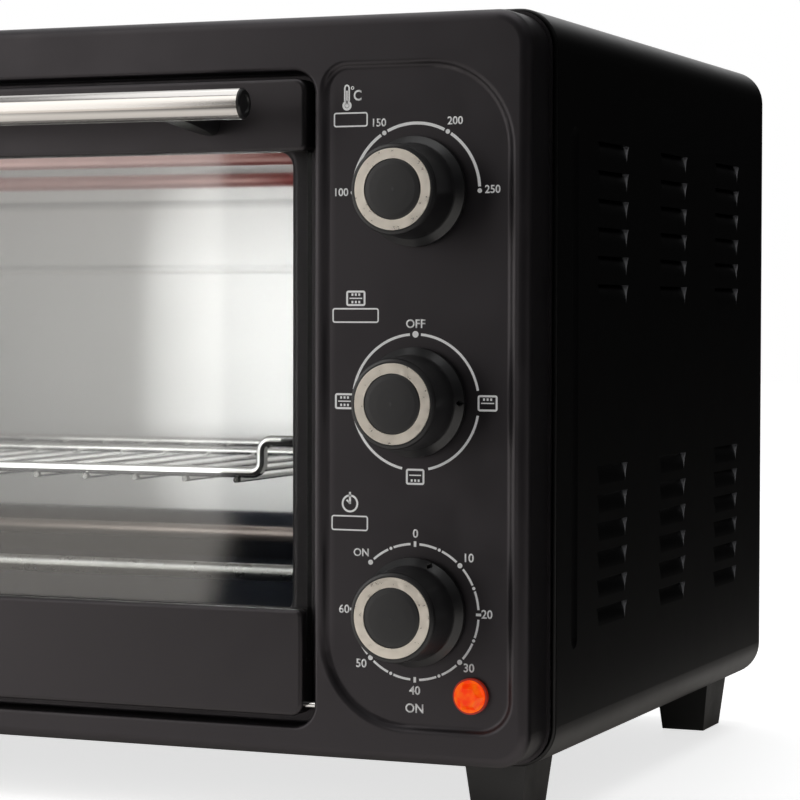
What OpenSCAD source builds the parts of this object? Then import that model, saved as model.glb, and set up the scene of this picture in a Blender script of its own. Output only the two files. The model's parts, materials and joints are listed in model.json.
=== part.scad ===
// Countertop toaster oven: stamped front frame with a drop-down glass door on the left and a
// sunken control panel with three knobs on the right, in a wrapped casing with side louvres.
// X runs to the right, Y to the back, Z up. The origin is under the middle of the whole oven.

/* [Front frame] */
// Width of the stamped front frame
frame_w = 480; // [460:1:520]
// Height of the stamped front frame
frame_h = 270; // [262:1:300]
// Corner radius of the front frame
frame_r = 13; // [9:0.5:18]
// Rounding along the front edge of the frame
edge_r = 4; // [3:0.5:6]
// Depth of the frame's side walls
frame_d = 20; // [18:0.5:26]
// Width of the flange that the casing butts against
flange_w = 1.2; // [0.8:0.1:1.5]
// Thickness of the painted steel sheet
sheet_t = 1; // [0.8:0.1:1.2]

/* [Door well] */
// Strip of the face left of the door well
well_margin_l = 10; // [8:0.5:14]
// Strip of the face above the door well
well_margin_t = 19.7; // [16:0.1:24]
// Strip of the face below the door well
well_margin_b = 10.8; // [9:0.1:14]
// Depth of the door well
well_d = 9.5; // [9:0.1:12]
// Corner radius of the door well
well_r = 8.5; // [6:0.5:12]
// Rounding of the door well's upper edge
well_edge_r = 1.5; // [1.2:0.1:2]

/* [Cavity mouth] */
// Width of the strip between the door well's wall and the cavity mouth
mouth_strip = 13; // [11.5:0.1:16]
// Height of the frame bar above the mouth, measured from the door well's wall
mouth_bar_t = 28.7; // [24:0.1:34]
// Height of the frame bar below the mouth, measured from the door well's wall
mouth_bar_b = 40.2; // [34:0.1:46]
// Corner radius of the mouth
mouth_r = 6; // [4:0.5:10]
// Rounding where the well floor turns into the mouth
mouth_edge_r = 3; // [2:0.1:4]
// Length of the straight lip behind that rounding
mouth_lip = 3.5; // [2:0.5:6]

/* [Control panel] */
// Width of the sunken control panel
panel_w = 72.2; // [68:0.1:90]
// Strip of the face right of the control panel
panel_margin_r = 7; // [5.5:0.1:12]
// Strip of the face above the control panel
panel_margin_t = 18.2; // [14:0.1:22]
// Strip of the face below the control panel
panel_margin_b = 12.7; // [10:0.1:16]
// Width of the ridge between the door well and the control panel
ridge_w = 3.8; // [3.6:0.1:8]
// Radius of the two bends that make the soft step of the panel
step_r = 2.3; // [1.8:0.1:2.5]
// Radius of the panel's tight corner at the top left
panel_r_tl = 9; // [6:0.5:14]
// Radius of the panel's wide corner at the top right
panel_r_tr = 31; // [20:0.5:34]
// Radius of the panel's corner at the bottom right
panel_r_br = 12; // [8:0.5:16]
// Radius of the panel's wide corner at the bottom left
panel_r_bl = 32; // [20:0.5:34]

/* [Casing] */
// Reach of the casing's sides beyond the front frame
case_side = 3; // [3:0.1:5]
// Reach of the casing's top and bottom beyond the front frame
case_top = 2; // [2:0.1:4]
// Corner radius of the casing
case_r = 15; // [12:0.5:20]
// Width of the folded hem along the casing's front edge
hem_w = 6; // [4:0.5:10]
// Depth from the front face to the back panel's outer face
body_d = 305; // [295:1:340]
// Width of the casing's flange behind, under the back panel
rear_flange = 14; // [12:0.5:18]
// Width of the casing's strip under the oven, from its side
under_strip = 35; // [33:0.5:42]

/* [Side louvres] */
// Length of one louvre
louvre_l = 38; // [30:1:42]
// Height of one louvre's scoop
louvre_h = 7; // [5:0.5:8]
// Radius of a scoop's curve, which sets how far it is pressed in
louvre_bend = 10.7; // [9:0.1:14]
// Spacing of the louvres down a group
louvre_pitch = 10.7; // [9.5:0.1:12]
// Louvres in one group
louvre_rows = 6; // [4:1:7]
// Columns of louvres along each side
louvre_cols = 3; // [2:1:3]
// Distance from the front face to the first column
louvre_first_y = 67.5; // [60:0.5:75]
// Spacing of the columns
louvre_col_pitch = 79.5; // [70:0.5:85]
// Height of the upper group's highest slit above mid-height
louvre_top_z = 91.8; // [84:0.1:96]
// Depth of the lower group's highest slit below mid-height
louvre_low_z = 30; // [24:0.1:34]
// Distance from the front face to the pressed groove ahead of the louvres
groove_y = 41.5; // [40:0.5:50]
// Half length of the pressed groove
groove_half = 92; // [80:1:100]
// Depth of the pressed groove
groove_depth = 0.7; // [0.4:0.1:0.7]

/* [Feet] */
// Height of the feet
foot_h = 21; // [16:0.5:28]
// Width of a foot at its top
foot_w = 23.6; // [20:0.1:28]
// Depth of a foot at its top
foot_l = 30; // [24:0.5:36]
// Taper of a foot on each side over its height
foot_taper = 2.4; // [0:0.1:3.5]
// Distance from the casing's side to a foot
foot_inset = 12.4; // [10:0.1:14]
// Distance from the front face to the front feet
foot_front_y = 24; // [23:0.5:32]
// Distance from the back panel to the rear feet
foot_rear_y = 13; // [8:0.5:20]

/* [Oven cavity] */
// Clear space between the mouth and the cavity's side walls
cavity_side = 3.5; // [3.2:0.1:6]
// Height of the cavity's ceiling above the mouth
cavity_top = 16.4; // [12:0.1:22]
// Depth of the cavity's floor below the mouth
cavity_bottom = 5; // [3.5:0.1:9]
// Distance from the front face to the cavity's back wall
cavity_d = 270; // [255:1:275]
// Thickness of the cavity's sheet
liner_t = 0.8; // [0.6:0.1:1]
// Height of the flanges that the ceiling and floor turn along the back wall
liner_turn = 22; // [16:0.5:28]
// Height of the pressed bead in the back wall above the rack
bead_rise = 68.8; // [60:0.1:76]

/* [Rack runners] */
// Reach of a runner from the side wall
runner_reach = 8.5; // [8:0.1:9.5]
// Height of a runner
runner_h = 7; // [6:0.1:8]
// Height of the upper rack level above the lower one
level_pitch = 42; // [38:0.5:46]
// Gap between the rack and the runners
runner_gap = 0.2; // [0.15:0.05:0.4]
// Space over the rack's side wire, under the upper guide
runner_slack = 1.5; // [1:0.1:2.5]

/* [Rack] */
// Height of the rack's side wires above the cavity floor
rack_z = 68.2; // [66:0.1:74]
// Drop of the rack's deck below its side wires
rack_drop = 12.1; // [9.5:0.1:14]
// Clearance between the rack and the mouth on each side
rack_side_gap = 0.9; // [0.6:0.1:1.5]
// Distance from the front face to the rack's front wire
rack_front_y = 27; // [25:0.5:32]
// Distance from the front face to the rack's rear wire
rack_rear_y = 240; // [225:1:248]
// Width of the raised end outside each riser
rack_shoulder = 16.7; // [16:0.1:20]
// Radius of the rack's frame wire
rack_wire_r = 2.1; // [1.8:0.05:2.3]
// Radius of the rack's deck wires
deck_wire_r = 1.1; // [1:0.05:1.5]
// Reach of the deck wires past the frame wires
deck_tip = 2.2; // [2:0.1:4]
// Number of deck wires
deck_wires = 15; // [13:2:15]
// Depth to which welded wires sink into each other
weld_sink = 0.3; // [0.2:0.05:0.4]

/* [Heaters] */
// Radius of a heater's sheath
heater_r = 3.25; // [2.8:0.05:3.6]
// Distance from a heater's axis to the ceiling or the floor
heater_gap = 15; // [12:0.1:18]
// Distance from the front face to the front heaters
heater_front_y = 60; // [50:1:75]
// Distance from the front face to the rear heaters
heater_rear_y = 230; // [220:1:240]

/* [Door] */
// Gap beside the top trim in the door well
door_side_gap = 2.6; // [2:0.1:3.5]
// Extra gap beside the bottom trim
bottom_inset = 1.3; // [0:0.1:1.8]
// Gap above the door in the well
door_top_gap = 2.8; // [2:0.1:4]
// Gap below the door in the well
door_bottom_gap = 4.2; // [4:0.1:5]
// Reach of the door's face in front of the frame
door_proud = 2; // [1:0.1:2.5]
// Depth of the door's trims
door_d = 9.5; // [9.4:0.1:9.8]
// Height of the top trim
top_trim_h = 26.2; // [25:0.1:30]
// Height of the bottom trim
bottom_trim_h = 39; // [36:0.1:43]
// Corner radius of the door's outer corners
door_r = 4.5; // [3:0.5:6]
// Rounding of the trims' front edges
trim_edge_r = 1.5; // [1:0.1:1.8]
// Thickness of the trims' sheet
trim_t = 0.8; // [0.6:0.05:0.9]
// Thickness of the door glass
glass_t = 4; // [3.6:0.1:4.2]
// Depth to which the glass enters the top trim
glass_tuck_top = 10; // [7:0.5:11]
// Depth to which the glass enters the bottom trim
glass_tuck_bottom = 19; // [14:0.5:22]

/* [Hinge] */
// Radius of the hinge pins
pin_r = 1.3; // [1.2:0.05:1.3]
// Running clearance around a hinge pin
pin_clear = 0.06; // [0.03:0.01:0.1]
// Distance of the hinge axis behind the front face
pin_y = 3; // [2.9:0.1:3.4]
// Height of the hinge axis above the door's lower edge
pin_rise = 4; // [3.6:0.1:4.4]

/* [Handle] */
// Radius of the handle's steel tube
tube_r = 5.6; // [4.8:0.1:6]
// Wall of the handle's steel tube
tube_wall = 0.8; // [0.6:0.1:1.2]
// Distance of the tube's axis in front of the front face
handle_reach = 30.3; // [26:0.1:34]
// Half length of the tube
tube_half = 179.3; // [168:0.1:182]
// Depth of the tube's axis below the top of the door
handle_drop = 11; // [9:0.1:12]
// Distance of a post's middle from the tube's end
post_inset = 27; // [18:0.1:36]
// Width of a post
post_w = 8; // [8:0.5:12]
// Height of a post's foot on the door
post_h = 16.5; // [16:0.5:18]
// Length of a cap outside the tube
cap_l = 1.1; // [0.9:0.1:2]

/* [Knobs] */
// Distance of the knobs' axes from the frame's right edge
knob_inset = 43.9; // [43:0.1:46]
// Height of the middle knob above the control panel's lower edge
knob_mid_z = 117.7; // [116:0.1:120]
// Spacing of the knobs
knob_pitch = 75.5; // [70:0.1:76]
// Radius of a knob's skirt
skirt_r = 19.7; // [18.8:0.1:21]
// Reach of a knob's face in front of the frame
knob_reach = 20; // [18:0.5:24]
// Gap between a knob's skirt and the panel
knob_gap = 0.6; // [0.4:0.1:1]
// Radius of a knob's grip at its front
grip_r = 16.2; // [15.8:0.1:16.6]
// Outer radius of a knob's metal ring
ring_r = 14.4; // [14:0.05:14.6]
// Inner radius of a knob's metal ring
ring_bore_r = 10.8; // [10:0.1:11.4]
// Width of the pointer groove in a knob's skirt
pointer_w = 1.7; // [1:0.1:2.2]
// Radius of the control shafts
shaft_r = 3; // [2.8:0.05:3.2]
// Clockwise angle of the temperature knob's mark from the top, as the oven stands
temp_rest = -90; // [-90:1:90]
// Clockwise angle of the function knob's mark from the top
function_rest = 90; // [0:90:270]
// Clockwise angle of the timer knob's mark from the top
timer_rest = 22.5; // [-45:0.5:270]

/* [Pilot lamp] */
// Distance of the lamp from the frame's right edge
lamp_inset = 22; // [20:0.1:24]
// Height of the lamp's axis above the panel's lower edge
lamp_rise = 13; // [11:0.1:15]
// Radius of the lamp's rim
lamp_r = 6.5; // [5.5:0.1:7]

/* [Cord inlet] */
// Radius of the bore in the cord bushing
cord_bore_r = 3.9; // [3:0.1:4.5]
// Height of the cord bushing above the base
cord_rise = 34; // [28:0.5:44]

/* [Hidden] */
$fn = 48;

// Corners in the order top left, top right, bottom right, bottom left, seen from the front
CORNER_X = [-1, 1, 1, -1];
CORNER_Z = [1, 1, -1, -1];
CORNER_TURN = [180, 270, 0, 90];
EPS = 0.01;

// Colours
black_paint = "#232224";
black_plastic = "#1b1b1c";
bright_steel = "#d9d6cf";
liner_steel = "#b9b8b2";

// Turned ends of the louvres
louvre_off = 0.3;
louvre_end = 3;

// Where things stand
mid_z = foot_h + case_top + frame_h / 2;
case_w = frame_w + 2 * case_side;
case_h = frame_h + 2 * case_top;
hem_y = frame_d + sheet_t + 0.2;
case_rear_y = body_d - sheet_t;
bush_flange_t = 3;
front_reach = handle_reach + tube_r;
front_y = (front_reach - body_d - bush_flange_t) / 2;

// Door well and mouth, in the front view about mid-height
well_w = frame_w - well_margin_l - ridge_w - panel_w - panel_margin_r;
well_h = frame_h - well_margin_t - well_margin_b;
well_x = -frame_w / 2 + well_margin_l + well_w / 2;
well_z = mid_z + (well_margin_b - well_margin_t) / 2;
well_floor_r = 1.5;
mouth_w = well_w - 2 * mouth_strip;
mouth_h = well_h - mouth_bar_t - mouth_bar_b;
mouth_z = well_z + (mouth_bar_b - mouth_bar_t) / 2;
mouth_rear_y = well_d + mouth_edge_r + mouth_lip;

// Control panel
panel_h = frame_h - panel_margin_t - panel_margin_b;
panel_x = frame_w / 2 - panel_margin_r - panel_w / 2;
panel_z = mid_z + (panel_margin_b - panel_margin_t) / 2;
panel_bottom_z = panel_z - panel_h / 2;
panel_r = [panel_r_tl, panel_r_tr, panel_r_br, panel_r_bl];
step_sin = 0.8;
step_cos = 0.6;
step_half = step_r * step_sin;
panel_d = 2 * step_r * (1 - step_cos);
knob_x = frame_w / 2 - knob_inset;
knob_zs = [for (i = [1, 0, -1]) panel_bottom_z + knob_mid_z + i * knob_pitch];
panel_rear_y = panel_d + sheet_t;
shaft_hole_r = shaft_r + 2;
screw_span = 14;
control_screw_r = 1.7;
control_head_r = 3.2;
control_head_h = 1.8;
lamp_x = frame_w / 2 - lamp_inset;
lamp_z = panel_bottom_z + lamp_rise;
lamp_body_r = lamp_r - 1.5;

// Cavity
cavity_half = mouth_w / 2 + cavity_side;
floor_z = mouth_z - mouth_h / 2 - cavity_bottom;
ceiling_z = mouth_z + mouth_h / 2 + cavity_top;
liner_y = well_d + sheet_t;
liner_l = cavity_d - liner_y;
cavity_mid_z = (floor_z + ceiling_z) / 2;
cavity_h = ceiling_z - floor_z;
liner_flange = 6;
bead_r = 3;
bead_z = floor_z + rack_z + bead_rise;

// Rack
side_wire_z = floor_z + rack_z;
deck_z = side_wire_z - rack_drop;
rack_half = mouth_w / 2 - rack_side_gap - rack_wire_r;
riser_x = rack_half - rack_shoulder;
bend_r = 4;
plan_bend_r = 8;
deck_wire_z = deck_z - rack_wire_r - deck_wire_r + weld_sink;
deck_pitch = 2 * (riser_x - 10) / (deck_wires - 1);
cross_wire_y = rack_front_y + 0.7 * (rack_rear_y - rack_front_y);
cross_wire_r = 1.6;
cross_wire_z = deck_wire_z + deck_wire_r + cross_wire_r - weld_sink;

// Runners
runner_front_y = rack_front_y - 3;
runner_rear_y = cavity_d - 8;
ledge_z = side_wire_z - rack_wire_r - runner_gap - runner_h / 2;
guide_z = side_wire_z + rack_wire_r + runner_slack + runner_h / 2;
runner_zs = [ledge_z, guide_z, ledge_z + level_pitch, guide_z + level_pitch];

// Heaters
heater_upper_z = ceiling_z - heater_gap;
heater_lower_z = floor_z + heater_gap;
heater_fit = 0.05;
bush_neck_r = heater_r + 1.2;
bush_flange_r = heater_r + 3.8;
bush_flange_l = 4;
heater_out = liner_t + bush_flange_l + 1.5;
terminal_r = 1.2;
terminal_l = 7;

// Door
slot_gap = 0.2;
door_half = well_w / 2 - door_side_gap;
door_bottom_z = well_z - well_h / 2 + door_bottom_gap;
door_top_z = well_z + well_h / 2 - door_top_gap;
door_rear_y = door_d - door_proud;
bottom_half = door_half - bottom_inset;
top_trim_z = door_top_z - top_trim_h / 2;
bottom_trim_z = door_bottom_z + bottom_trim_h / 2;
glass_half = door_half - trim_t - slot_gap;
glass_rear_y = door_rear_y - trim_t - 0.3;
glass_bottom_z = door_bottom_z + bottom_trim_h - glass_tuck_bottom;
glass_top_z = door_top_z - top_trim_h + glass_tuck_top;
inner_corner_r = 2.2;

// Hinge
pin_z = door_bottom_z + pin_rise;
plate_t = 1;
pin_end_x = well_w / 2 + sheet_t + plate_t + 0.2;
pin_head_x = bottom_half - trim_t - 2.5;

// Handle
tube_z = door_top_z - handle_drop;
post_x = tube_half - post_inset;
post_bottom_z = tube_z - tube_r - 3.5;
handle_screw_r = 1.9;
handle_screw_head_h = 1.5;

// Knobs and their shafts
knob_rear_y = panel_d - knob_gap;
skirt_front_y = knob_rear_y - 2.6;
grip_base_r = grip_r + 0.7;
ring_front_y = -knob_reach - 0.3;
ring_seat_y = -knob_reach + 1.2;
hollow_r = skirt_r - 1.5;
hub_r = shaft_r + 2.2;
hub_front_y = -knob_reach + 5;
shaft_fit = 0.06;
shaft_end_y = panel_rear_y + 10;
flat_x = shaft_r - 1;

// Back and base
base_z = foot_h + sheet_t;
cord_x = knob_x;
cord_z = base_z + cord_rise;
bush_neck = cord_bore_r + 2.4;
back_screw_x = case_w / 2 - 7;
back_screw_z = case_h / 2 - 7;
back_screw_r = 1.7;
foot_x = case_w / 2 - foot_inset - foot_w / 2;
foot_ys = [foot_front_y + foot_l / 2, body_d - foot_rear_y - foot_l / 2];
foot_screw_r = 2;
foot_pocket_r = 4.2;
foot_floor = 5;

// ---- Helpers ----

// Places what is drawn from the front face into the oven's own frame
module from_front() {
    translate([0, front_y, 0]) children();
}

// Prism of a front-view outline, from y0 backwards over d
module slab(y0, d) {
    translate([0, y0 + d, 0]) rotate([90, 0, 0]) linear_extrude(d) children();
}

// Cylinder along X, centred
module bar_x(r, l) {
    rotate([0, 90, 0]) cylinder(r = r, h = l, center = true);
}

// Cylinder along Y, from y0 backwards over l
module bar_y(r, y0, l) {
    translate([0, y0, 0]) rotate([-90, 0, 0]) cylinder(r = r, h = l);
}

// Rectangle with a radius for each corner
module rounded(w, h, r) {
    difference() {
        square([w, h], center = true);
        for (i = [0 : 3])
            translate([CORNER_X[i] * w / 2, CORNER_Z[i] * h / 2]) square(2 * r[i], center = true);
    }
    for (i = [0 : 3])
        translate([CORNER_X[i] * (w / 2 - r[i]), CORNER_Z[i] * (h / 2 - r[i])]) circle(r[i]);
}

function all(r) = [r, r, r, r];
function grown(r, by) = [for (v = r) v + by];

// Sweeps a profile round a rounded rectangle. In the profile, x points outwards from the
// outline and y to the back.
module rim(w, h, r) {
    for (i = [0 : 3])
        translate([CORNER_X[i] * (w / 2 - r[i]), 0, CORNER_Z[i] * (h / 2 - r[i])])
            rotate([-90, 0, 0]) rotate([0, 0, CORNER_TURN[i]])
                rotate_extrude(angle = 90) translate([r[i], 0]) children();
    translate([w / 2, 0, -h / 2 + r[2]]) linear_extrude(h - r[1] - r[2]) children();
    mirror([1, 0, 0]) translate([w / 2, 0, -h / 2 + r[3]]) linear_extrude(h - r[0] - r[3]) children();
    translate([w / 2 - r[1], 0, h / 2]) rotate([0, -90, 0]) linear_extrude(w - r[0] - r[1]) children();
    translate([-w / 2 + r[3], 0, -h / 2]) rotate([0, 90, 0]) linear_extrude(w - r[2] - r[3]) children();
}

// Bent sheet in section: the part of a ring from angle a0 over span
module arc_band(r, t, a0, span) {
    far = 3 * r;
    intersection() {
        difference() {
            circle(r);
            circle(r - t);
        }
        polygon([
            [0, 0],
            far * [cos(a0), sin(a0)],
            far * [cos(a0 + span / 2), sin(a0 + span / 2)],
            far * [cos(a0 + span), sin(a0 + span)]
        ]);
    }
}

// Section of a pan's rim: rounded front edge and side wall
module pan_profile(r, d, t) {
    translate([-r, r]) arc_band(r, t, -90, 90);
    translate([-t, r]) square([t, d - r]);
}

// Section of a well's wall: rounded upper edge, wall, and bend into the floor
module well_profile(r_top, r_floor, d, t) {
    translate([r_top, r_top]) arc_band(r_top, t, 180, 90);
    translate([0, r_top]) square([t, d - r_top - r_floor]);
    translate([-r_floor, d - r_floor]) arc_band(r_floor + t, t, 0, 90);
}

// Section of a flanged mouth: rounding from the floor into a straight lip
module mouth_profile(r, lip, t) {
    translate([r, r]) arc_band(r, t, 180, 90);
    translate([0, r]) square([t, lip]);
}

// Section of the soft step round the control panel: two bends that meet on a slope of 4 in 3
module step_profile() {
    reach = 2 * (step_r + sheet_t);
    translate([step_half, step_r]) intersection() {
        difference() {
            circle(step_r);
            circle(step_r - sheet_t);
        }
        polygon([[0, 0], [-reach * step_sin, -reach * step_cos], [-reach * step_sin, -reach], [0, -reach]]);
    }
    translate([-step_half, panel_d - step_r]) intersection() {
        difference() {
            circle(step_r + sheet_t);
            circle(step_r);
        }
        polygon([[0, 0], [reach * step_sin, reach * step_cos], [reach * step_sin, reach], [0, reach]]);
    }
}

// Pan-headed screw with a cross recess: head towards -Y, seated at y = 0
module screw(r, l, head_r, head_h) {
    difference() {
        union() {
            bar_y(head_r, -head_h, head_h);
            bar_y(r, 0, l);
        }
        for (a = [0, 90])
            rotate([0, a, 0]) cube([head_r * 1.1, head_h, 0.8], center = true);
        translate([0, -head_h, 0])
            for (a = [0, 90]) rotate([0, a, 0]) cube([head_r * 1.1, head_h, 0.8], center = true);
    }
}

// ---- Housing ----

module front_frame() color(black_paint) from_front() difference() {
    union() {
        frame_face();
        translate([0, 0, mid_z]) rim(frame_w, frame_h, all(frame_r)) {
            pan_profile(edge_r, frame_d, sheet_t);
            translate([-sheet_t, frame_d]) square([sheet_t + flange_w, sheet_t]);
        }
        door_well();
        control_panel();
    }
    for (side = [-1, 1])
        translate([well_x + side * well_w / 2, pin_y, pin_z]) bar_x(pin_r + pin_clear, 6 * sheet_t);
    for (z = knob_zs) translate([knob_x, 0, z]) {
        bar_y(shaft_hole_r, 0, panel_rear_y + 1);
        for (side = [-1, 1])
            translate([side * screw_span, 0, 0]) bar_y(control_screw_r + 0.3, 0, panel_rear_y + 1);
    }
    translate([lamp_x, 0, lamp_z]) bar_y(lamp_body_r + 0.1, 0, panel_rear_y + 1);
}

// Flat face of the frame between its edge, the door well and the control panel
module frame_face() {
    slab(0, sheet_t) difference() {
        translate([0, mid_z])
            rounded(frame_w - 2 * edge_r, frame_h - 2 * edge_r, all(frame_r - edge_r));
        translate([well_x, well_z])
            rounded(well_w + 2 * well_edge_r, well_h + 2 * well_edge_r, all(well_r + well_edge_r));
        translate([panel_x, panel_z])
            rounded(panel_w + 2 * step_half, panel_h + 2 * step_half, grown(panel_r, step_half));
    }
}

// Sunken well for the door, with the mouth of the cavity in its floor
module door_well() {
    translate([well_x, 0, well_z])
        rim(well_w, well_h, all(well_r)) well_profile(well_edge_r, well_floor_r, well_d, sheet_t);
    slab(well_d, sheet_t) difference() {
        translate([well_x, well_z])
            rounded(well_w - 2 * well_floor_r, well_h - 2 * well_floor_r, all(well_r - well_floor_r));
        translate([well_x, mouth_z])
            rounded(mouth_w + 2 * mouth_edge_r, mouth_h + 2 * mouth_edge_r, all(mouth_r + mouth_edge_r));
    }
    translate([well_x, well_d, mouth_z])
        rim(mouth_w, mouth_h, all(mouth_r)) mouth_profile(mouth_edge_r, mouth_lip, sheet_t);
}

// Shallow sunken panel that carries the knobs and the lamp
module control_panel() {
    translate([panel_x, 0, panel_z]) rim(panel_w, panel_h, panel_r) step_profile();
    slab(panel_d, sheet_t) translate([panel_x, panel_z])
        rounded(panel_w - 2 * step_half, panel_h - 2 * step_half, grown(panel_r, -step_half));
}

// Section under a louvre's curve of radius r, from x0 in front of the side sheet's face: x is
// the depth behind that face, y the height
module louvre_section(x0, r) {
    difference() {
        translate([-x0, 0]) square([x0 + louvre_bend / 2, louvre_h]);
        translate([louvre_bend, 0]) circle(r);
    }
}

// The hollow that one louvre presses into the right side: a straight run between two ends,
// each the same curve turned about an upright axis just outside the sheet
module louvre_press(y, z) {
    translate([case_w / 2, 0, z - louvre_h]) {
        slab(y + louvre_end, louvre_l - 2 * louvre_end) mirror([1, 0])
            louvre_section(louvre_off, louvre_bend);
        for (end = [0, 1])
            translate([louvre_off, y + (end ? louvre_l - louvre_end : louvre_end), 0])
                rotate([0, 0, end ? 90 : 180]) rotate_extrude(angle = 90)
                    translate([louvre_off, 0]) louvre_section(louvre_off, louvre_bend);
    }
}

module each_louvre() {
    for (col = [0 : louvre_cols - 1])
        for (top = [louvre_top_z, -louvre_low_z])
            for (row = [0 : louvre_rows - 1]) {
                $louvre_y = louvre_first_y + col * louvre_col_pitch;
                $louvre_z = mid_z + top - row * louvre_pitch;
                children();
            }
}

module outer_casing() color(black_paint) from_front() {
    difference() {
        union() {
            casing_wrap();
            for (side = [0, 1]) mirror([side, 0, 0]) each_louvre()
                translate([case_w / 2, 0, $louvre_z - louvre_h])
                    slab($louvre_y - 0.5, louvre_l + 1) mirror([1, 0])
                        louvre_section(0, louvre_bend - sheet_t);
        }
        for (side = [0, 1]) mirror([side, 0, 0]) {
            each_louvre() louvre_press($louvre_y, $louvre_z);
            casing_groove();
        }
        translate([-case_w / 2 + under_strip, hem_y - 1, foot_h - 1])
            cube([case_w - 2 * under_strip, body_d, rear_flange + 2]);
        translate([-case_w / 2 + case_r, hem_y - 1, base_z])
            cube([case_w - 2 * case_r, hem_w + 3, 2 * sheet_t]);
        back_screw_places() bar_y(back_screw_r, case_rear_y - 2 * sheet_t, 4 * sheet_t);
        foot_places() translate([0, 0, foot_h - 1]) cylinder(r = foot_screw_r, h = sheet_t + 2);
    }
}

// The wrapped sheet itself: folded hem in front, sides, and a flange behind
module casing_wrap() {
    hem_r = sheet_t;
    translate([0, 0, mid_z]) rim(case_w, case_h, all(case_r)) {
        translate([-hem_r, hem_y + hem_r]) intersection() {
            circle(hem_r);
            translate([-2 * hem_r, -2 * hem_r]) square([4 * hem_r, 2 * hem_r]);
        }
        translate([-2 * sheet_t, hem_y + hem_r]) square([2 * sheet_t, hem_w]);
        translate([-sheet_t, hem_y + hem_r]) square([sheet_t, case_rear_y - hem_y - hem_r]);
        translate([-rear_flange + 2, case_rear_y - sheet_t]) square([rear_flange - 2, sheet_t]);
    }
}

// Pressed upright groove ahead of the louvres, with a ball end above and below
module casing_groove() {
    press_r = 10;
    translate([case_w / 2 + press_r - groove_depth, groove_y, mid_z]) {
        cylinder(r = press_r, h = 2 * groove_half, center = true);
        for (end = [-1, 1]) translate([0, 0, end * groove_half]) rotate_extrude() intersection() {
            circle(press_r);
            translate([press_r / 2, -press_r / 2]) square(press_r);
        }
    }
}

module back_screw_places() {
    for (x = [-back_screw_x, back_screw_x], z = [-60, 60])
        translate([x, 0, mid_z + z]) children();
    for (x = [-150, 0, 150]) translate([x, 0, mid_z + back_screw_z]) children();
    for (side = [-1, 1])
        translate([side * (case_w / 2 - under_strip + 6), 0, mid_z - back_screw_z]) children();
}

module foot_places() {
    for (side = [-1, 1], y = foot_ys) translate([side * foot_x, y, 0]) children();
}

module back_panel() color(black_paint) from_front() difference() {
    slab(case_rear_y, sheet_t) translate([0, mid_z])
        rounded(case_w - 0.6, case_h - 0.6, all(case_r - 0.3));
    back_screw_places() bar_y(back_screw_r, case_rear_y - 1, 3);
    translate([cord_x, 0, cord_z]) bar_y(bush_neck, case_rear_y - 1, 3);
    for (row = [0 : 4], col = [0 : 6])
        slab(case_rear_y - 1, 3) vent_slot(knob_x - 18 + 6 * col, mid_z + 26 - 22 * row, 3, 15);
    for (row = [0 : 1], col = [0 : 19])
        slab(case_rear_y - 1, 3) vent_slot(well_x - 114 + 12 * col, mid_z + 96 - 182 * row, 4, 20);
}

// Slot with round ends
module vent_slot(x, z, w, h) {
    translate([x, z]) {
        square([w, h - w], center = true);
        for (end = [-1, 1]) translate([0, end * (h - w) / 2]) circle(w / 2);
    }
}

module base_plate() color("#8d8f90") from_front() difference() {
    translate([-case_w / 2 + case_r + 1, hem_y + 2, base_z])
        cube([case_w - 2 * case_r - 2, case_rear_y - sheet_t - 1 - hem_y - 2, sheet_t]);
    foot_places() translate([0, 0, base_z - 1]) cylinder(r = foot_screw_r, h = 3);
    for (row = [0 : 2], col = [0 : 17]) translate([well_x - 102 + 12 * col, 70 + 75 * row, base_z - 1])
        linear_extrude(3) vent_slot(0, 0, 4, 42);
}

module foot() {
    difference() {
        intersection() {
            rotate([90, 0, 0]) linear_extrude(foot_l, center = true) foot_outline(foot_w);
            rotate([90, 0, 90]) linear_extrude(foot_w, center = true) foot_outline(foot_l);
        }
        translate([0, 0, -1]) cylinder(r = foot_pocket_r, h = foot_h - foot_floor + 1);
        cylinder(r = foot_screw_r + 0.2, h = foot_h + 1);
    }
}

module foot_outline(w) {
    polygon([
        [-w / 2 + foot_taper, 0], [w / 2 - foot_taper, 0], [w / 2, foot_h], [-w / 2, foot_h]
    ]);
}

module feet() color(black_plastic) from_front() foot_places() foot();

module foot_screws() color("silver") from_front() foot_places()
    translate([0, 0, foot_h - foot_floor]) rotate([90, 0, 0]) screw(foot_screw_r, foot_floor + 6, 3.6, 2.2);

module case_screws() color("#3a3a3c") from_front() back_screw_places()
    translate([0, body_d, 0]) rotate([0, 0, 180]) screw(back_screw_r, 8, 3.4, 1.6);

module cord_bushing() color(black_plastic) from_front() translate([cord_x, 0, cord_z]) difference() {
    union() {
        bar_y(bush_neck + 2.4, body_d, bush_flange_t);
        bar_y(bush_neck, case_rear_y - 9, 9 + sheet_t);
        bar_y(bush_neck + 1.2, case_rear_y - 4, 4);
    }
    bar_y(cord_bore_r, case_rear_y - 10, 10 + sheet_t + bush_flange_t + 1);
}

// ---- Oven cavity ----

module cavity_ceiling() color(liner_steel) from_front() {
    translate([well_x - cavity_half, liner_y, ceiling_z]) cube([2 * cavity_half, liner_l, liner_t]);
    translate([well_x - cavity_half, cavity_d - liner_t, ceiling_z - liner_turn])
        cube([2 * cavity_half, liner_t, liner_turn]);
}

module cavity_floor() color("#3c3c3e") from_front() {
    translate([well_x - cavity_half, liner_y, floor_z - liner_t]) cube([2 * cavity_half, liner_l, liner_t]);
    translate([well_x - cavity_half, cavity_d - liner_t, floor_z])
        cube([2 * cavity_half, liner_t, liner_turn]);
}

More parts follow.
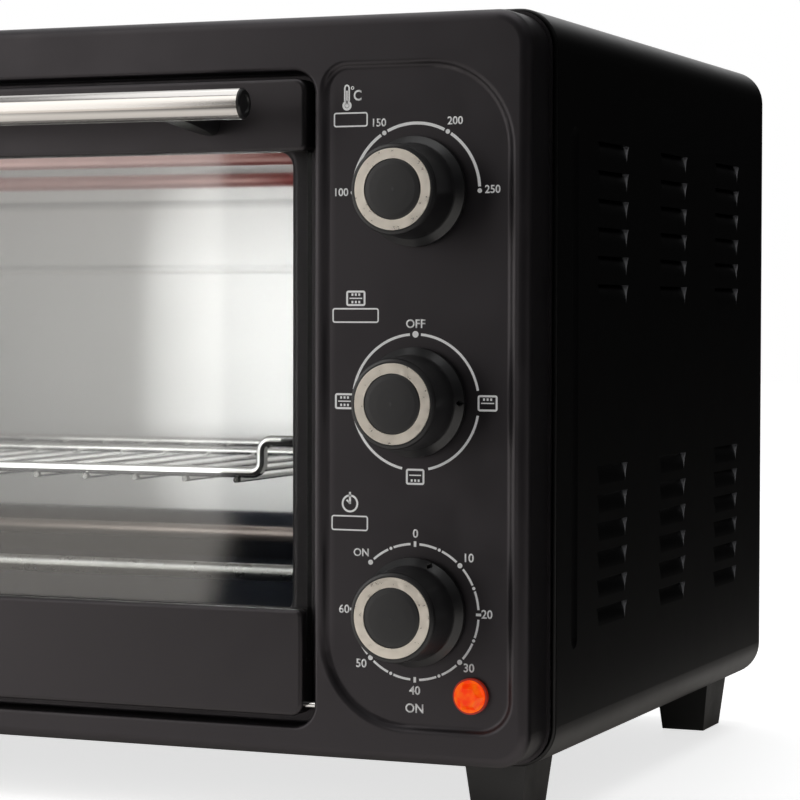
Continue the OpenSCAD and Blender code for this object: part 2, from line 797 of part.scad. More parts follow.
module cavity_back() color(liner_steel) from_front() translate([well_x, cavity_d, 0]) difference() {
    union() {
        translate([-cavity_half, 0, floor_z - liner_t])
            cube([2 * cavity_half, liner_t, cavity_h + 2 * liner_t]);
        translate([0, liner_t - bead_r, bead_z]) bar_x(bead_r + liner_t, 2 * cavity_half - 20);
    }
    translate([0, liner_t - bead_r, bead_z]) bar_x(bead_r, 2 * cavity_half - 20 - 2 * liner_t);
    translate([-cavity_half, -2 * bead_r, floor_z]) cube([2 * cavity_half, 2 * bead_r, cavity_h]);
}

// Section of a pressed runner, from the wall's inner face towards the cavity
module runner_section(grow) {
    r = runner_h / 2 + grow;
    translate([-liner_t - 1, -r]) square([runner_reach - runner_h / 2 + liner_t + 1, 2 * r]);
    translate([runner_reach - runner_h / 2, 0]) circle(r);
}

// Left wall, seen from inside the cavity; the right wall mirrors it
module cavity_side_wall() {
    difference() {
        union() {
            translate([-liner_t, liner_y + liner_t, floor_z - liner_t])
                cube([liner_t, liner_l, cavity_h + 2 * liner_t]);
            for (z = runner_zs)
                intersection() {
                    slab(runner_front_y, runner_rear_y - runner_front_y)
                        translate([0, z]) runner_section(0);
                    translate([-liner_t, 0, 0]) cube([2 * runner_reach, body_d, 2 * mid_z]);
                }
            translate([-liner_flange, liner_y, floor_z])
                cube([liner_flange, liner_t, cavity_h]);
        }
        for (z = runner_zs)
            slab(runner_front_y + liner_t, runner_rear_y - runner_front_y - 2 * liner_t)
                translate([0, z]) runner_section(-liner_t);
        for (y = [heater_front_y, heater_rear_y], z = [heater_lower_z, heater_upper_z])
            translate([0, y, z]) bar_x(bush_neck_r + 0.1, 6 * liner_t);
    }
}

module cavity_left_side() color(liner_steel) from_front()
    translate([well_x - cavity_half, 0, 0]) cavity_side_wall();

module cavity_right_side() color(liner_steel) from_front()
    translate([well_x + cavity_half, 0, 0]) mirror([1, 0, 0]) cavity_side_wall();

module heater(y, z) {
    color("#7d6f66") from_front()
        translate([well_x, y, z]) bar_x(heater_r, 2 * (cavity_half + heater_out));
}

module upper_front_heater() heater(heater_front_y, heater_upper_z);
module upper_rear_heater() heater(heater_rear_y, heater_upper_z);
module lower_front_heater() heater(heater_front_y, heater_lower_z);
module lower_rear_heater() heater(heater_rear_y, heater_lower_z);

module heater_ends() {
    from_front()
        for (side = [0, 1], y = [heater_front_y, heater_rear_y], z = [heater_lower_z, heater_upper_z])
            translate([well_x, y, z]) mirror([side, 0, 0]) children();
}

module heater_bushings() color("#e8e2d4") heater_ends() difference() {
    union() {
        translate([cavity_half, 0, 0]) bar_x(bush_neck_r, 4 * liner_t);
        translate([cavity_half + liner_t + bush_flange_l / 2, 0, 0]) bar_x(bush_flange_r, bush_flange_l);
    }
    translate([cavity_half, 0, 0]) bar_x(heater_r + heater_fit, 40);
}

module heater_terminals() color("silver") heater_ends() {
    translate([cavity_half + heater_out + terminal_l / 2, 0, 0]) bar_x(terminal_r, terminal_l);
    translate([cavity_half + heater_out + terminal_l - 1.5, 0, 0]) rotate([0, 90, 0])
        cylinder(r = 2.6, h = 2, center = true, $fn = 6);
}

// ---- Controls behind the panel ----

// Mounting plate of a control, with its two screw holes and the shaft's bearing
module control_plate(w, h) {
    translate([-w / 2, panel_rear_y, -h / 2]) cube([w, 1.2, h]);
    bar_y(shaft_hole_r - 0.3, panel_rear_y - 0.5, 4);
}

module control_bores() {
    bar_y(shaft_r + shaft_fit, panel_rear_y - 1, shaft_end_y - panel_rear_y + 1.3);
    for (side = [-1, 1])
        translate([side * screw_span, 0, 0]) bar_y(control_screw_r + 0.05, panel_rear_y - 1, 9);
}

module thermostat() color("#d8d2c4") from_front() translate([knob_x, 0, knob_zs[0]]) difference() {
    union() {
        control_plate(36, 18);
        bar_y(10.5, panel_rear_y, 13);
        translate([-6, panel_rear_y + 1, -15]) cube([12, 16, 30]);
        for (z = [-15, 11]) translate([-3, panel_rear_y + 17, z]) cube([6, 8, 0.8]);
        translate([-4, panel_rear_y + 17, -8]) cube([8, 1, 16]);
    }
    control_bores();
}

module function_switch() color("#e9e6dc") from_front() translate([knob_x, 0, knob_zs[1]]) difference() {
    union() {
        control_plate(38, 20);
        translate([0, panel_rear_y + 1.2, 0]) rotate([-90, 0, 0]) cylinder(r = 17, h = 16);
        translate([-12, panel_rear_y + 1.2, -17]) cube([24, 16, 34]);
        for (a = [0 : 60 : 300])
            rotate([0, a, 0]) translate([-3, panel_rear_y + 17.2, 11]) cube([6, 8, 0.8]);
    }
    control_bores();
}

module timer() color("#c9c7c0") from_front() translate([knob_x, 0, knob_zs[2]]) difference() {
    union() {
        control_plate(38, 22);
        translate([-23, panel_rear_y + 1.2, -19]) cube([46, 24, 38]);
        bar_y(4, panel_rear_y + 25.2, 3);
        difference() {
            bar_y(18, panel_rear_y + 28.2, 9);
            bar_y(17, panel_rear_y + 29.2, 9);
        }
        for (z = [-12, -4, 4]) translate([-31, panel_rear_y + 10, z]) cube([8, 6, 0.8]);
    }
    control_bores();
}

module control_screws() color("silver") from_front()
    for (z = knob_zs, side = [-1, 1])
        translate([knob_x + side * screw_span, panel_d, z])
            screw(control_screw_r, 7, control_head_r, control_head_h);

module terminal_block() color("#efe9da") from_front()
    translate([knob_x - 24, case_rear_y - 62, base_z + sheet_t]) difference() {
        union() {
            cube([48, 20, 6]);
            for (i = [0 : 2]) translate([4 + 14 * i, 2, 6]) cube([12, 16, 9]);
        }
        for (i = [0 : 2]) {
            translate([10 + 14 * i, -1, 10]) rotate([-90, 0, 0]) cylinder(r = 2, h = 22);
            for (y = [6, 14]) translate([10 + 14 * i, y, 10]) cylinder(r = 1.8, h = 8);
        }
    }

module lamp_holder() color("#5a1512") from_front() translate([lamp_x, 0, lamp_z]) difference() {
    union() {
        bar_y(lamp_r, panel_d - 1.8, 1.8);
        bar_y(lamp_body_r, panel_d - 1, 18);
        translate([0, panel_rear_y + 0.2, 0]) bar_y(lamp_body_r + 2.2, 0, 1.5);
    }
    bar_y(lamp_r - 0.6, panel_d - 3, 2.2);
    bar_y(lamp_body_r - 1, panel_d - 2, 14);
}

module lamp_lens() color("#ff5a1e") from_front() translate([lamp_x, 0, lamp_z]) {
    bar_y(lamp_r - 0.7, panel_d - 2.4, 1.6);
    translate([0, panel_d - 2.4, 0]) rotate([90, 0, 0]) cylinder(r1 = lamp_r - 1, r2 = lamp_r - 3, h = 1.9, $fn = 6);
}

// ---- Door ----

// Hollow trim bent from sheet, from y = 0 backwards
module trim_shell(w, h, r) {
    slab(0, trim_t) rounded(w - 2 * trim_edge_r, h - 2 * trim_edge_r, grown(r, -trim_edge_r));
    rim(w, h, r) pan_profile(trim_edge_r, door_d, trim_t);
    slab(door_d - trim_t, trim_t) rounded(w - 2 * trim_t, h - 2 * trim_t, grown(r, -trim_t));
}

// Space that the glass takes, with its gap
module glass_slot() {
    translate([well_x - glass_half - slot_gap, glass_rear_y - glass_t - slot_gap, glass_bottom_z - slot_gap])
        cube([2 * (glass_half + slot_gap), glass_t + 2 * slot_gap, glass_top_z - glass_bottom_z + 2 * slot_gap]);
}

module door_glass() color("#8fa6a0", 0.3) from_front()
    translate([well_x - glass_half, glass_rear_y - glass_t, glass_bottom_z])
        cube([2 * glass_half, glass_t, glass_top_z - glass_bottom_z]);

module door_top_trim() color(black_paint) from_front() difference() {
    translate([well_x, -door_proud, top_trim_z])
        trim_shell(2 * door_half, top_trim_h, [door_r, door_r, inner_corner_r, inner_corner_r]);
    glass_slot();
    handle_ends() translate([0, 0, 0]) bar_y(handle_screw_r + 0.1, -door_proud - 1, door_d + 2);
}

module door_bottom_trim() color(black_paint) from_front() difference() {
    translate([well_x, -door_proud, bottom_trim_z])
        trim_shell(2 * bottom_half, bottom_trim_h, [inner_corner_r, inner_corner_r, door_r, door_r]);
    glass_slot();
    translate([well_x, pin_y, pin_z]) bar_x(pin_r, 3 * bottom_half);
}

// Both ends of the handle, seen from the right one, at the tube's height
module handle_ends() {
    for (side = [0, 1])
        translate([well_x, 0, tube_z]) mirror([side, 0, 0]) translate([post_x, 0, 0]) children();
}

module handle_tube() color(bright_steel) from_front()
    translate([well_x, -handle_reach, tube_z]) difference() {
        bar_x(tube_r, 2 * tube_half);
        bar_x(tube_r - tube_wall, 2 * tube_half + 2);
    }

module handle_posts() color(black_plastic) from_front() handle_ends() difference() {
    intersection() {
        translate([-post_w / 2, 0, 0]) rotate([90, 0, 90]) linear_extrude(post_w) polygon([
            [-door_proud, post_bottom_z - tube_z],
            [-door_proud, post_bottom_z - tube_z + post_h],
            [-handle_reach, tube_r],
            [-handle_reach, -tube_r]
        ]);
        slab(-handle_reach, handle_reach) translate([0, post_bottom_z - tube_z + post_h / 2])
            rounded(post_w, post_h, all(post_w / 2 - 0.5));
    }
    translate([0, -handle_reach, 0]) bar_x(tube_r, 2 * post_w);
    bar_y(handle_screw_r, -door_proud - 12, 13);
}

// Cap of the tube's right end, from the tube's end outwards
module handle_cap() {
    rotate([0, 90, 0]) rotate_extrude() polygon([
        [0, -12], [tube_r - tube_wall, -12], [tube_r - tube_wall, 0], [tube_r - 0.3, 0],
        [tube_r - 0.3, cap_l - 0.6], [tube_r - 0.8, cap_l - 0.1], [tube_r - 1.4, cap_l],
        [tube_r - 2.2, cap_l], [tube_r - 2.7, cap_l - 0.5], [0, cap_l - 0.5]
    ]);
}

module handle_caps() color(black_plastic) from_front()
    for (side = [0, 1]) translate([well_x, -handle_reach, tube_z]) mirror([side, 0, 0])
        translate([tube_half, 0, 0]) handle_cap();

module handle_screws() color("silver") from_front() handle_ends() translate([0, door_rear_y, 0])
    rotate([0, 0, 180]) screw(handle_screw_r, door_d + 9, 3.4, handle_screw_head_h);

module hinge_pins() color(bright_steel) from_front()
    for (side = [0, 1]) translate([well_x, pin_y, pin_z]) mirror([side, 0, 0]) {
        translate([(pin_head_x + pin_end_x) / 2, 0, 0]) bar_x(pin_r, pin_end_x - pin_head_x);
        translate([pin_head_x + 0.5, 0, 0]) bar_x(pin_r + 0.5, 1.5);
    }

module hinge_plates() color("silver") from_front()
    for (side = [0, 1]) translate([well_x, 0, pin_z]) mirror([side, 0, 0]) difference() {
        translate([well_w / 2 + sheet_t, 1.4, -7]) cube([plate_t, well_d - 2.9, 14]);
        translate([well_w / 2, pin_y, 0]) bar_x(pin_r + pin_clear, 10);
    }

// ---- Rack ----

// Quarter bend of the frame wire in the XY plane, from +X towards +Y
module wire_bend(r) {
    rotate_extrude(angle = 90) translate([r, 0]) circle(rack_wire_r);
}

// Right half of the front or rear frame wire, from the middle to the side wire
module rack_end(dir) {
    run = riser_x - bend_r;
    translate([run / 2, 0, deck_z]) bar_x(rack_wire_r, run);
    translate([run, 0, deck_z + bend_r]) rotate([-90, 0, 0]) wire_bend(bend_r);
    translate([riser_x, 0, deck_z + bend_r])
        cylinder(r = rack_wire_r, h = rack_drop - 2 * bend_r);
    translate([riser_x + bend_r, 0, side_wire_z - bend_r]) rotate([90, 0, 0]) rotate([0, 0, 90]) wire_bend(bend_r);
    flat = rack_shoulder - bend_r - plan_bend_r;
    translate([riser_x + bend_r + flat / 2, 0, side_wire_z]) bar_x(rack_wire_r, flat);
    translate([rack_half - plan_bend_r, dir * plan_bend_r, side_wire_z])
        rotate([0, 0, dir > 0 ? -90 : 0]) wire_bend(plan_bend_r);
}

module wire_rack() color(bright_steel) from_front() translate([well_x, 0, 0]) {
    span = rack_rear_y - rack_front_y;
    for (side = [0, 1]) mirror([side, 0, 0]) {
        translate([0, rack_front_y, 0]) rack_end(1);
        translate([0, rack_rear_y, 0]) rack_end(-1);
        translate([rack_half, 0, side_wire_z])
            bar_y(rack_wire_r, rack_front_y + plan_bend_r, span - 2 * plan_bend_r);
    }
    for (i = [0 : deck_wires - 1])
        translate([(i - (deck_wires - 1) / 2) * deck_pitch, 0, deck_wire_z])
            bar_y(deck_wire_r, rack_front_y - deck_tip, span + 2 * deck_tip);
    translate([0, cross_wire_y, cross_wire_z])
        bar_x(cross_wire_r, (deck_wires - 1) * deck_pitch + 4);
}

// ---- Knobs ----

// Things on one control's axis, turned to its resting mark
module on_axis(index, rest) {
    from_front() translate([knob_x, 0, knob_zs[index]]) rotate([0, rest, 0]) children();
}

module knob_body() {
    difference() {
        rotate([90, 0, 0]) rotate_extrude() polygon([
            [0, -knob_rear_y], [skirt_r - 0.3, -knob_rear_y], [skirt_r, -knob_rear_y + 0.3],
            [skirt_r, -skirt_front_y - 0.5], [skirt_r - 0.5, -skirt_front_y],
            [grip_base_r + 0.4, -skirt_front_y + 1.9], [grip_base_r, -skirt_front_y + 2.7],
            [grip_r, knob_reach - 1.2], [grip_r - 0.4, knob_reach - 0.3],
            [grip_r - 1.2, knob_reach], [0, knob_reach]
        ]);
        bar_y(ring_r + 0.05, -knob_reach - 1, ring_seat_y + knob_reach + 1);
        difference() {
            bar_y(hollow_r, knob_rear_y - 3.2, 4);
            bar_y(hub_r, knob_rear_y - 4, 5);
        }
        difference() {
            bar_y(grip_r - 2.4, hub_front_y, knob_rear_y - hub_front_y + 1);
            bar_y(hub_r, hub_front_y - 1, knob_rear_y - hub_front_y + 3);
        }
        difference() {
            bar_y(shaft_r + 0.05, hub_front_y + 1, knob_reach);
            translate([flat_x + 0.05, hub_front_y, -shaft_r - 1]) cube([2, knob_reach, 2 * shaft_r + 2]);
        }
        translate([0, skirt_front_y - 0.6, grip_base_r + 2.5]) rotate([0, 0, 45])
            cube([pointer_w, pointer_w, 4], center = true);
    }
}

module knob_ring() {
    difference() {
        bar_y(ring_r, ring_front_y, ring_seat_y - ring_front_y);
        bar_y(ring_bore_r, ring_front_y - 1, 4);
    }
}

module knob_cap() {
    cap_r = ring_bore_r - 0.1;
    rotate([90, 0, 0]) rotate_extrude() polygon([
        [0, -ring_seat_y], [cap_r, -ring_seat_y], [cap_r, knob_reach],
        [cap_r - 0.5, knob_reach + 0.4], [cap_r - 2, knob_reach + 0.6],
        [cap_r - 5, knob_reach + 0.75], [0, knob_reach + 0.85]
    ]);
}

module knob_shaft() {
    difference() {
        bar_y(shaft_r, hub_front_y + 1.5, shaft_end_y - hub_front_y - 1.5);
        translate([flat_x, hub_front_y, -shaft_r - 1])
            cube([2, knob_rear_y - hub_front_y, 2 * shaft_r + 2]);
    }
}

module temp_knob() color(black_plastic) on_axis(0, temp_rest) knob_body();
module temp_ring() color(bright_steel) on_axis(0, temp_rest) knob_ring();
module temp_cap() color(black_plastic) on_axis(0, temp_rest) knob_cap();
module temp_shaft() color("silver") on_axis(0, temp_rest) knob_shaft();
module function_knob() color(black_plastic) on_axis(1, function_rest) knob_body();
module function_ring() color(bright_steel) on_axis(1, function_rest) knob_ring();
module function_cap() color(black_plastic) on_axis(1, function_rest) knob_cap();
module function_shaft() color("silver") on_axis(1, function_rest) knob_shaft();
module timer_knob() color(black_plastic) on_axis(2, timer_rest) knob_body();
module timer_ring() color(bright_steel) on_axis(2, timer_rest) knob_ring();
module timer_cap() color(black_plastic) on_axis(2, timer_rest) knob_cap();
module timer_shaft() color("silver") on_axis(2, timer_rest) knob_shaft();

front_frame();
outer_casing();
back_panel();
base_plate();
feet();
foot_screws();
case_screws();
cavity_ceiling();
cavity_floor();
cavity_back();
cavity_left_side();
cavity_right_side();
upper_front_heater();
upper_rear_heater();
lower_front_heater();
lower_rear_heater();
heater_bushings();
heater_terminals();
thermostat();
function_switch();
timer();
control_screws();
terminal_block();
lamp_holder();
lamp_lens();
cord_bushing();
hinge_plates();
door_glass();
door_top_trim();
door_bottom_trim();
handle_tube();
handle_posts();
handle_caps();
handle_screws();
hinge_pins();
wire_rack();
temp_knob();
temp_ring();
temp_cap();
temp_shaft();
function_knob();
function_ring();
function_cap();
function_shaft();
timer_knob();
timer_ring();
timer_cap();
timer_shaft();
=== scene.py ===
"""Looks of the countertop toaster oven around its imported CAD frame."""

import json
import math

import bmesh
import bpy
from mathutils import Matrix, Vector

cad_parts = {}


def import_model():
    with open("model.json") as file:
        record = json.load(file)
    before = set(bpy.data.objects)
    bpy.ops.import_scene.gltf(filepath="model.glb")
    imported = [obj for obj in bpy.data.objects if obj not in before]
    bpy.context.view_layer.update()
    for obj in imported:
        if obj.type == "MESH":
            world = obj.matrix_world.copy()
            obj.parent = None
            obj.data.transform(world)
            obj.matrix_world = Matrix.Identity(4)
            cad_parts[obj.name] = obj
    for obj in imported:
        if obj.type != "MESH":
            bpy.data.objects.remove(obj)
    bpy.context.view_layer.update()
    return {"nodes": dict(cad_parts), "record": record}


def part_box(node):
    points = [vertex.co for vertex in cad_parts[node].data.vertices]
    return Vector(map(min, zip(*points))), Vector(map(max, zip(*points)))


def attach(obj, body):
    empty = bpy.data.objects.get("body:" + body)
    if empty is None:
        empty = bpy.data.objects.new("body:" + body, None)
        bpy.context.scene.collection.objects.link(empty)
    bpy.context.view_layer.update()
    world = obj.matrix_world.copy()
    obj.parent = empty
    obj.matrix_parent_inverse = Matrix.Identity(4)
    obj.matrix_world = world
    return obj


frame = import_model()
NODES = frame["nodes"]
SLOT = {row["node"]: row["material_slot"] for row in frame["record"]["subparts"]}
scene = bpy.context.scene
MM = 0.001


# ---------------------------------------------------------------- places
def centre(node):
    lo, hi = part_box(node)
    return (lo + hi) / 2


KNOB_GAP = 0.6 * MM  # between a knob's skirt and the control panel
FRONT_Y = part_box("front_frame")[0].y
PANEL_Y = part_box("temp_knob")[1].y + KNOB_GAP


# ---------------------------------------------------------------- node trees
class Tree:
    """A node tree, with short calls for the nodes used here."""

    def __init__(self, owner):
        owner.use_nodes = True
        self.tree = owner.node_tree
        self.tree.nodes.clear()

    def add(self, kind, **props):
        node = self.tree.nodes.new("ShaderNode" + kind)
        for key, value in props.items():
            setattr(node, key, value)
        return node

    def link(self, a, b):
        self.tree.links.new(a, b)

    def math(self, operation, *operands, clamp=False):
        """Math node on numbers and other nodes' outputs."""
        node = self.add("Math", operation=operation, use_clamp=clamp)
        for socket, value in zip(node.inputs, operands):
            if isinstance(value, (int, float)):
                socket.default_value = value
            else:
                self.link(value, socket)
        return node.outputs[0]

    def product(self, first, *others):
        for other in others:
            first = self.math("MULTIPLY", first, other)
        return first

    def split(self, vector):
        node = self.add("SeparateXYZ")
        self.link(vector, node.inputs[0])
        return node.outputs[0], node.outputs[1], node.outputs[2]

    def span(self, value, lo, hi, a=0.3, b=0.7, **props):
        """Value that goes from lo to hi while the input goes from a to b."""
        node = self.add("MapRange", **props)
        for key, v in zip(("From Min", "From Max", "To Min", "To Max"), (a, b, lo, hi)):
            node.inputs[key].default_value = v
        self.link(value, node.inputs["Value"])
        return node.outputs[0]

    def rise(self, value, a, b, **props):
        """0 up to a, and 1 from b on."""
        return self.span(value, 0.0, 1.0, a, b, **props)

    def fall(self, value, a, b):
        """1 up to a, and 0 from b on."""
        return self.span(value, 1.0, 0.0, a, b)


class Nodes(Tree):
    """A material's node tree round one Principled shader."""

    def __init__(self, name):
        self.mat = bpy.data.materials.new(name)
        super().__init__(self.mat)
        self.out = self.add("OutputMaterial")
        self.bsdf = self.add("BsdfPrincipled")
        self.link(self.bsdf.outputs[0], self.out.inputs["Surface"])
        self.coords = self.add("TexCoord").outputs["Object"]

    def put(self, **values):
        for key, value in values.items():
            self.bsdf.inputs[key.replace("_", " ")].default_value = value

    def noise(self, scale, detail=3.0, rough=0.55, stretch=None):
        vector = self.coords
        if stretch:
            mapping = self.add("Mapping")
            mapping.inputs["Scale"].default_value = stretch
            self.link(vector, mapping.inputs["Vector"])
            vector = mapping.outputs[0]
        node = self.add("TexNoise")
        node.inputs["Scale"].default_value = scale
        node.inputs["Detail"].default_value = detail
        node.inputs["Roughness"].default_value = rough
        self.link(vector, node.inputs["Vector"])
        return node.outputs["Fac"]

    def mix(self, value, one, two):
        node = self.add("Mix", data_type="RGBA")
        node.inputs[6].default_value = (*one, 1)
        node.inputs[7].default_value = (*two, 1)
        self.link(value, node.inputs[0])
        return node.outputs[2]

    def tone(self, mask, color):
        """Turn the base colour to another one where the mask is 1."""
        base = self.bsdf.inputs["Base Color"]
        node = self.add("Mix", data_type="RGBA")
        self.link(mask, node.inputs[0])
        self.link(base.links[0].from_socket, node.inputs[6])
        node.inputs[7].default_value = (*color, 1)
        self.link(node.outputs[2], base)

    def bump(self, value, depth, strength):
        node = self.add("Bump")
        node.inputs["Distance"].default_value = depth
        node.inputs["Strength"].default_value = strength
        self.link(value, node.inputs["Height"])
        self.link(node.outputs[0], self.bsdf.inputs["Normal"])


# ---------------------------------------------------------------- materials
M = {}
PAINT_SHEEN = dict(Specular_IOR_Level=0.5, Specular_Tint=(1.0, 0.925, 0.985, 1))
CASING = dict(color=(0.0024, 0.0023, 0.0025), rough=0.33, rough_vary=0.015, grain=1400, depth=0.00003,
              strength=0.2, Specular_IOR_Level=0.3)
ALUMINISED = dict(color=(0.86, 0.86, 0.845), rough=0.45, metal=0.15, vary=0.02, rough_vary=0.05, broad=14,
                  grain=700, strength=0.08)
PLATED = dict(color=(0.78, 0.78, 0.77), rough=0.16, metal=1.0, vary=0.05, broad=40, rough_vary=0.04,
              grain=900, strength=0.05)
HOT = dict(color=(0.24, 0.17, 0.155), rough=0.42, metal=0.9, vary=0.15, broad=30, grain=1200, strength=0.2,
           Emission_Color=(1, 0.17, 0.15, 1), Emission_Strength=0.08)


def tint(color, by):
    return tuple(min(1.0, c * by) for c in color)


def surface(name, color, rough, metal=0.0, vary=0.12, rough_vary=0.06, broad=9.0, grain=900.0,
            depth=0.00002, strength=0.5, stretch=None, **extra):
    """Finish with broad colour drift, uneven gloss and a fine grain."""
    n = M[name] = Nodes(name)
    n.put(Metallic=metal, **extra)
    drift = n.span(n.noise(broad, 4), 0, 1)
    n.link(n.mix(drift, tint(color, 1 - vary), tint(color, 1 + vary)), n.bsdf.inputs["Base Color"])
    gloss = n.noise(broad * 7, 5, 0.6, stretch)
    n.link(n.span(gloss, rough - rough_vary, rough + rough_vary), n.bsdf.inputs["Roughness"])
    n.bump(n.noise(grain, 2, 0.5, stretch), depth, strength)
    return n


def frame_paint():
    """Frame paint, with a painted highlight on the ridge between the door and the control panel."""
    n = surface("frame_paint", (0.0105, 0.0095, 0.0105), rough=0.40, grain=1400, depth=0.00003,
                strength=0.25, **PAINT_SHEEN)
    x, _, z = n.split(n.coords)
    door_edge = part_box("door_top_trim")[1].x
    low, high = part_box("front_frame")
    ridge_highlight = n.product(n.rise(x, door_edge - 4.4 * MM, door_edge - 1.9 * MM),
                      n.fall(x, door_edge + 8.1 * MM, door_edge + 10.6 * MM),
                      n.rise(z, low.z + 28.2 * MM, low.z + 53.2 * MM),
                      n.fall(z, high.z - 32.2 * MM, high.z - 22.2 * MM))
    # painted highlight: the ridge between the door and the control panel is toned lighter
    n.tone(ridge_highlight, (0.036, 0.033, 0.035))


def rack_wire():
    """Bright plated wire with painted shade on its cut ends."""
    n = surface("rack_wire", **PLATED)
    _, y, z = n.split(n.coords)
    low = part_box("wire_rack")[0]
    shaded_ends = n.product(n.fall(y, low.y + 2.0 * MM, low.y + 2.6 * MM),
                         n.fall(z, low.z + 2.2 * MM, low.z + 2.5 * MM))
    # painted shade: the wire's cut ends are toned dark grey
    n.tone(shaded_ends, (0.10, 0.10, 0.095))


def wall_sheet():
    """Bright back wall with painted shade lines along its bead and under its top seam."""
    n = surface("wall_sheet", **ALUMINISED)
    _, _, z = n.split(n.coords)
    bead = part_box("wire_rack")[1].z + 67.5 * MM
    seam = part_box("cavity_ceiling")[0].z - 0.5 * MM
    # height, half width in mm and strength of each painted shade line
    for height, half, deep in ((bead, 1.1, 0.16), (seam, 2.6, 0.45)):
        away = n.math("ABSOLUTE", n.math("SUBTRACT", z, height))
        n.tone(n.span(away, deep, 0.0, 0.3 * half * MM, 1.6 * half * MM), (0.03, 0.03, 0.03))


def casing_sheet():
    """Casing paint with painted highlights on the louvres' rear end walls."""
    n = surface("casing_sheet", **CASING)
    x, y, _ = n.split(n.coords)
    _, backward, _ = n.split(n.add("NewGeometry").outputs["Normal"])
    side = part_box("outer_casing")[1].x
    end_wall_highlights = n.product(n.fall(backward, -0.6, -0.25),
                          n.rise(n.math("ABSOLUTE", x), side - 14 * MM, side - 12 * MM),
                          n.rise(y, FRONT_Y + 60 * MM, FRONT_Y + 64 * MM))
    # painted highlight: the louvres' rear end walls are toned light grey
    n.tone(end_wall_highlights, (0.22, 0.22, 0.23))


def rear_sheath():
    """Hot sheath of the upper rear heater, with painted shade that makes it darker and redder towards the
    right.
    """
    n = surface("rear_sheath", **HOT)
    x, _, _ = n.split(n.coords)
    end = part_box("upper_rear_heater")[1].x
    # painted shade: the sheath is toned darker and redder towards its right end
    n.tone(n.rise(x, end - 133.8 * MM, end - 109.8 * MM), (0.070, 0.022, 0.020))


def lamp_amber():
    """Lit lens, unevenly orange."""
    n = surface("lamp_amber", (0.55, 0.03, 0.004), rough=0.14, vary=0.3, broad=200,
                Specular_IOR_Level=0.25, Emission_Strength=0.66)
    glow = n.mix(n.span(n.noise(330, 1), 0, 1, 0.35, 0.65), (1.0, 0.035, 0.001), (1.0, 0.16, 0.003))
    n.link(glow, n.bsdf.inputs["Emission Color"])


def door_pane():
    """Clear door glass that lets the lamps' light through."""
    n = M["glass"] = Nodes("door_pane")
    n.put(Base_Color=(0.97, 0.985, 0.98, 1), IOR=1.58, Transmission_Weight=1.0)
    n.link(n.span(n.noise(40, 3), 0.038, 0.048), n.bsdf.inputs["Roughness"])
    clear = n.add("BsdfTransparent")
    clear.inputs["Color"].default_value = (0.93, 0.95, 0.94, 1)
    both = n.add("MixShader")
    n.link(n.add("LightPath").outputs["Is Shadow Ray"], both.inputs[0])
    n.link(n.bsdf.outputs[0], both.inputs[1])
    n.link(clear.outputs[0], both.inputs[2])
    n.link(both.outputs[0], n.out.inputs["Surface"])


surface("trim_paint", (0.0105, 0.0095, 0.0100), rough=0.36, grain=1400, depth=0.00003, strength=0.2,
        **PAINT_SHEEN)
surface("casing_paint", **CASING)
surface("zinc_sheet", (0.42, 0.43, 0.44), rough=0.42, metal=1.0, vary=0.18, rough_vary=0.1, broad=60,
        grain=300, strength=0.15)
surface("aluminised", **ALUMINISED)
surface("tray_coat", (0.014, 0.016, 0.022), rough=0.5, vary=0.2, broad=14, grain=900, depth=0.00001,
        strength=0.1, Specular_IOR_Level=0.0)
surface("sheath", (0.42, 0.36, 0.33), rough=0.38, metal=0.9, vary=0.15, broad=30, grain=1200, strength=0.2)
surface("hot_sheath", **HOT)
surface("plain_sheath", (0.36, 0.36, 0.35), rough=0.30, metal=1.0, vary=0.1, broad=30, grain=1200,
        strength=0.1)
surface("ceramic", (0.78, 0.74, 0.64), rough=0.6, vary=0.05, grain=900, strength=0.2)
surface("plated_steel", **PLATED)
frame_paint()
rack_wire()
wall_sheet()
casing_sheet()
rear_sheath()
surface("bright_tube", (0.57, 0.55, 0.53), rough=0.16, metal=1.0, vary=0.03, rough_vary=0.05, broad=6,
        grain=500, strength=0.12, stretch=(0.04, 1, 1))
surface("black_plastic", (0.0125, 0.0122, 0.013), rough=0.34, grain=1800, depth=0.00003, strength=0.12)
surface("cap_plastic", (0.015, 0.0143, 0.015), rough=0.46, grain=1800, depth=0.00003, strength=0.2)
surface("foot_plastic", (0.012, 0.012, 0.0125), rough=0.5, grain=1500, depth=0.00004, strength=0.3)
surface("light_plastic", (0.72, 0.69, 0.61), rough=0.5, vary=0.04, grain=1200, strength=0.15)
surface("rubber", (0.02, 0.02, 0.02), rough=0.62, grain=1200, strength=0.3)
surface("ring_metal", (0.97, 0.90, 0.80), rough=0.32, metal=1.0, vary=0.03, broad=60, grain=900,
        strength=0.05)
surface("print", (0.96, 0.96, 0.96), rough=0.5, vary=0.03, grain=2500, depth=0.00001, strength=0.2)
surface("lamp_red", (0.25, 0.02, 0.012), rough=0.2, vary=0.1, broad=60,
        Emission_Color=(0.55, 0.03, 0.01, 1), Emission_Strength=0.25)
lamp_amber()
door_pane()

# pieces whose finish differs from the rest of their material slot
SPECIAL = {"front_frame": "frame_paint", "outer_casing": "casing_sheet", "feet": "foot_plastic",
           "door_top_trim": "trim_paint", "door_bottom_trim": "trim_paint",
           "temp_cap": "cap_plastic", "function_cap": "cap_plastic", "timer_cap": "cap_plastic",
           "upper_front_heater": "hot_sheath", "upper_rear_heater": "rear_sheath",
           "lower_front_heater": "plain_sheath", "cavity_back": "wall_sheet", "wire_rack": "rack_wire"}
for name, obj in NODES.items():
    obj.data.materials.clear()
    obj.data.materials.append(M[SPECIAL.get(name, SLOT[name])].mat)


